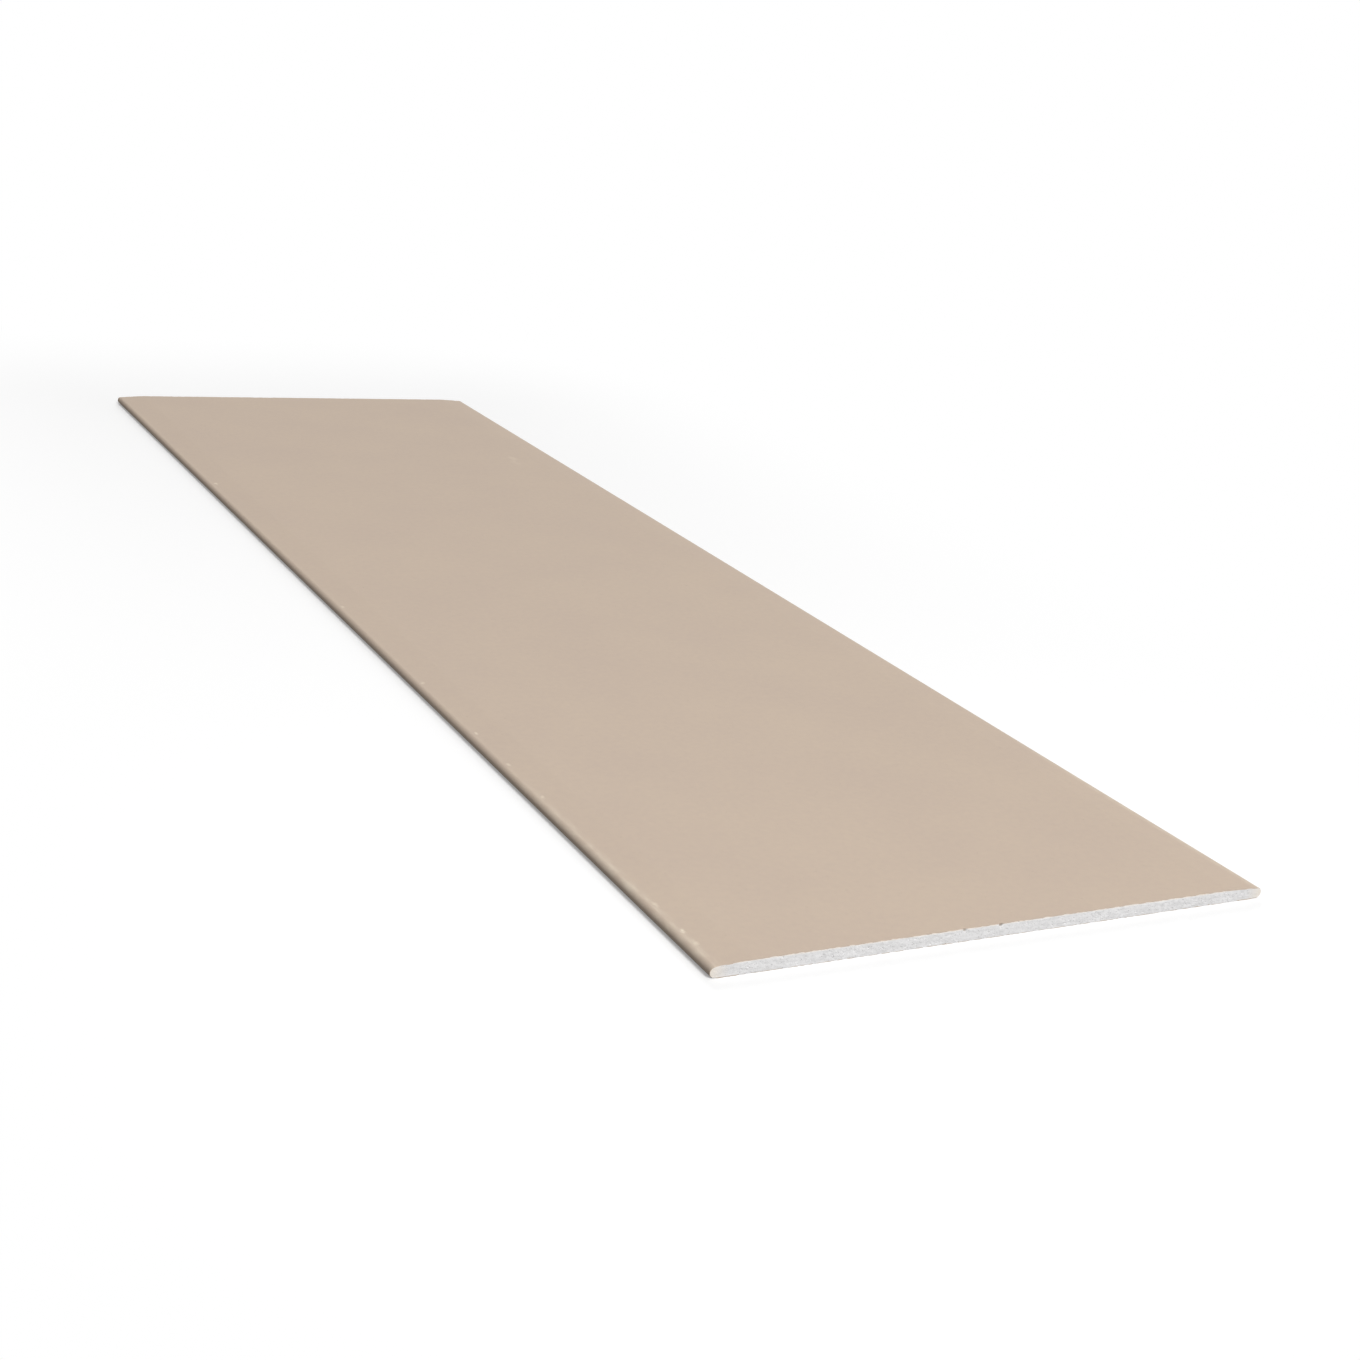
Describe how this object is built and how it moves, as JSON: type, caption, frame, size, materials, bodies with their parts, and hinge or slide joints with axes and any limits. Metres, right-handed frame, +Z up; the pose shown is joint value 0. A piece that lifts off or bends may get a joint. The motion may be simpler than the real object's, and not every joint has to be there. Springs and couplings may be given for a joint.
{
  "type": "drywall sheet",
  "caption": "Flat plasterboard sheet: a foamed gypsum core in paper, with tapered half-round long edges and square cut ends, for lining walls and ceilings.",
  "frame": {"origin": "middle of the underside, on the surface that the sheet lies on", "axes": "+Y along the sheet's length, +X across its width, +Z up out of its face"},
  "size_m": [0.6, 2, 0.0125],
  "materials": {
    "gypsum": "matte, cut foamed gypsum with small open pores",
    "face_paper": "smooth matte tan liner paper",
    "back_paper": "rougher matte brown-grey recycled liner paper"
  },
  "bodies": {
    "root": {"gypsum_core": "gypsum", "face_paper": "face_paper", "back_paper": "back_paper"}
  },
  "joints": []
}
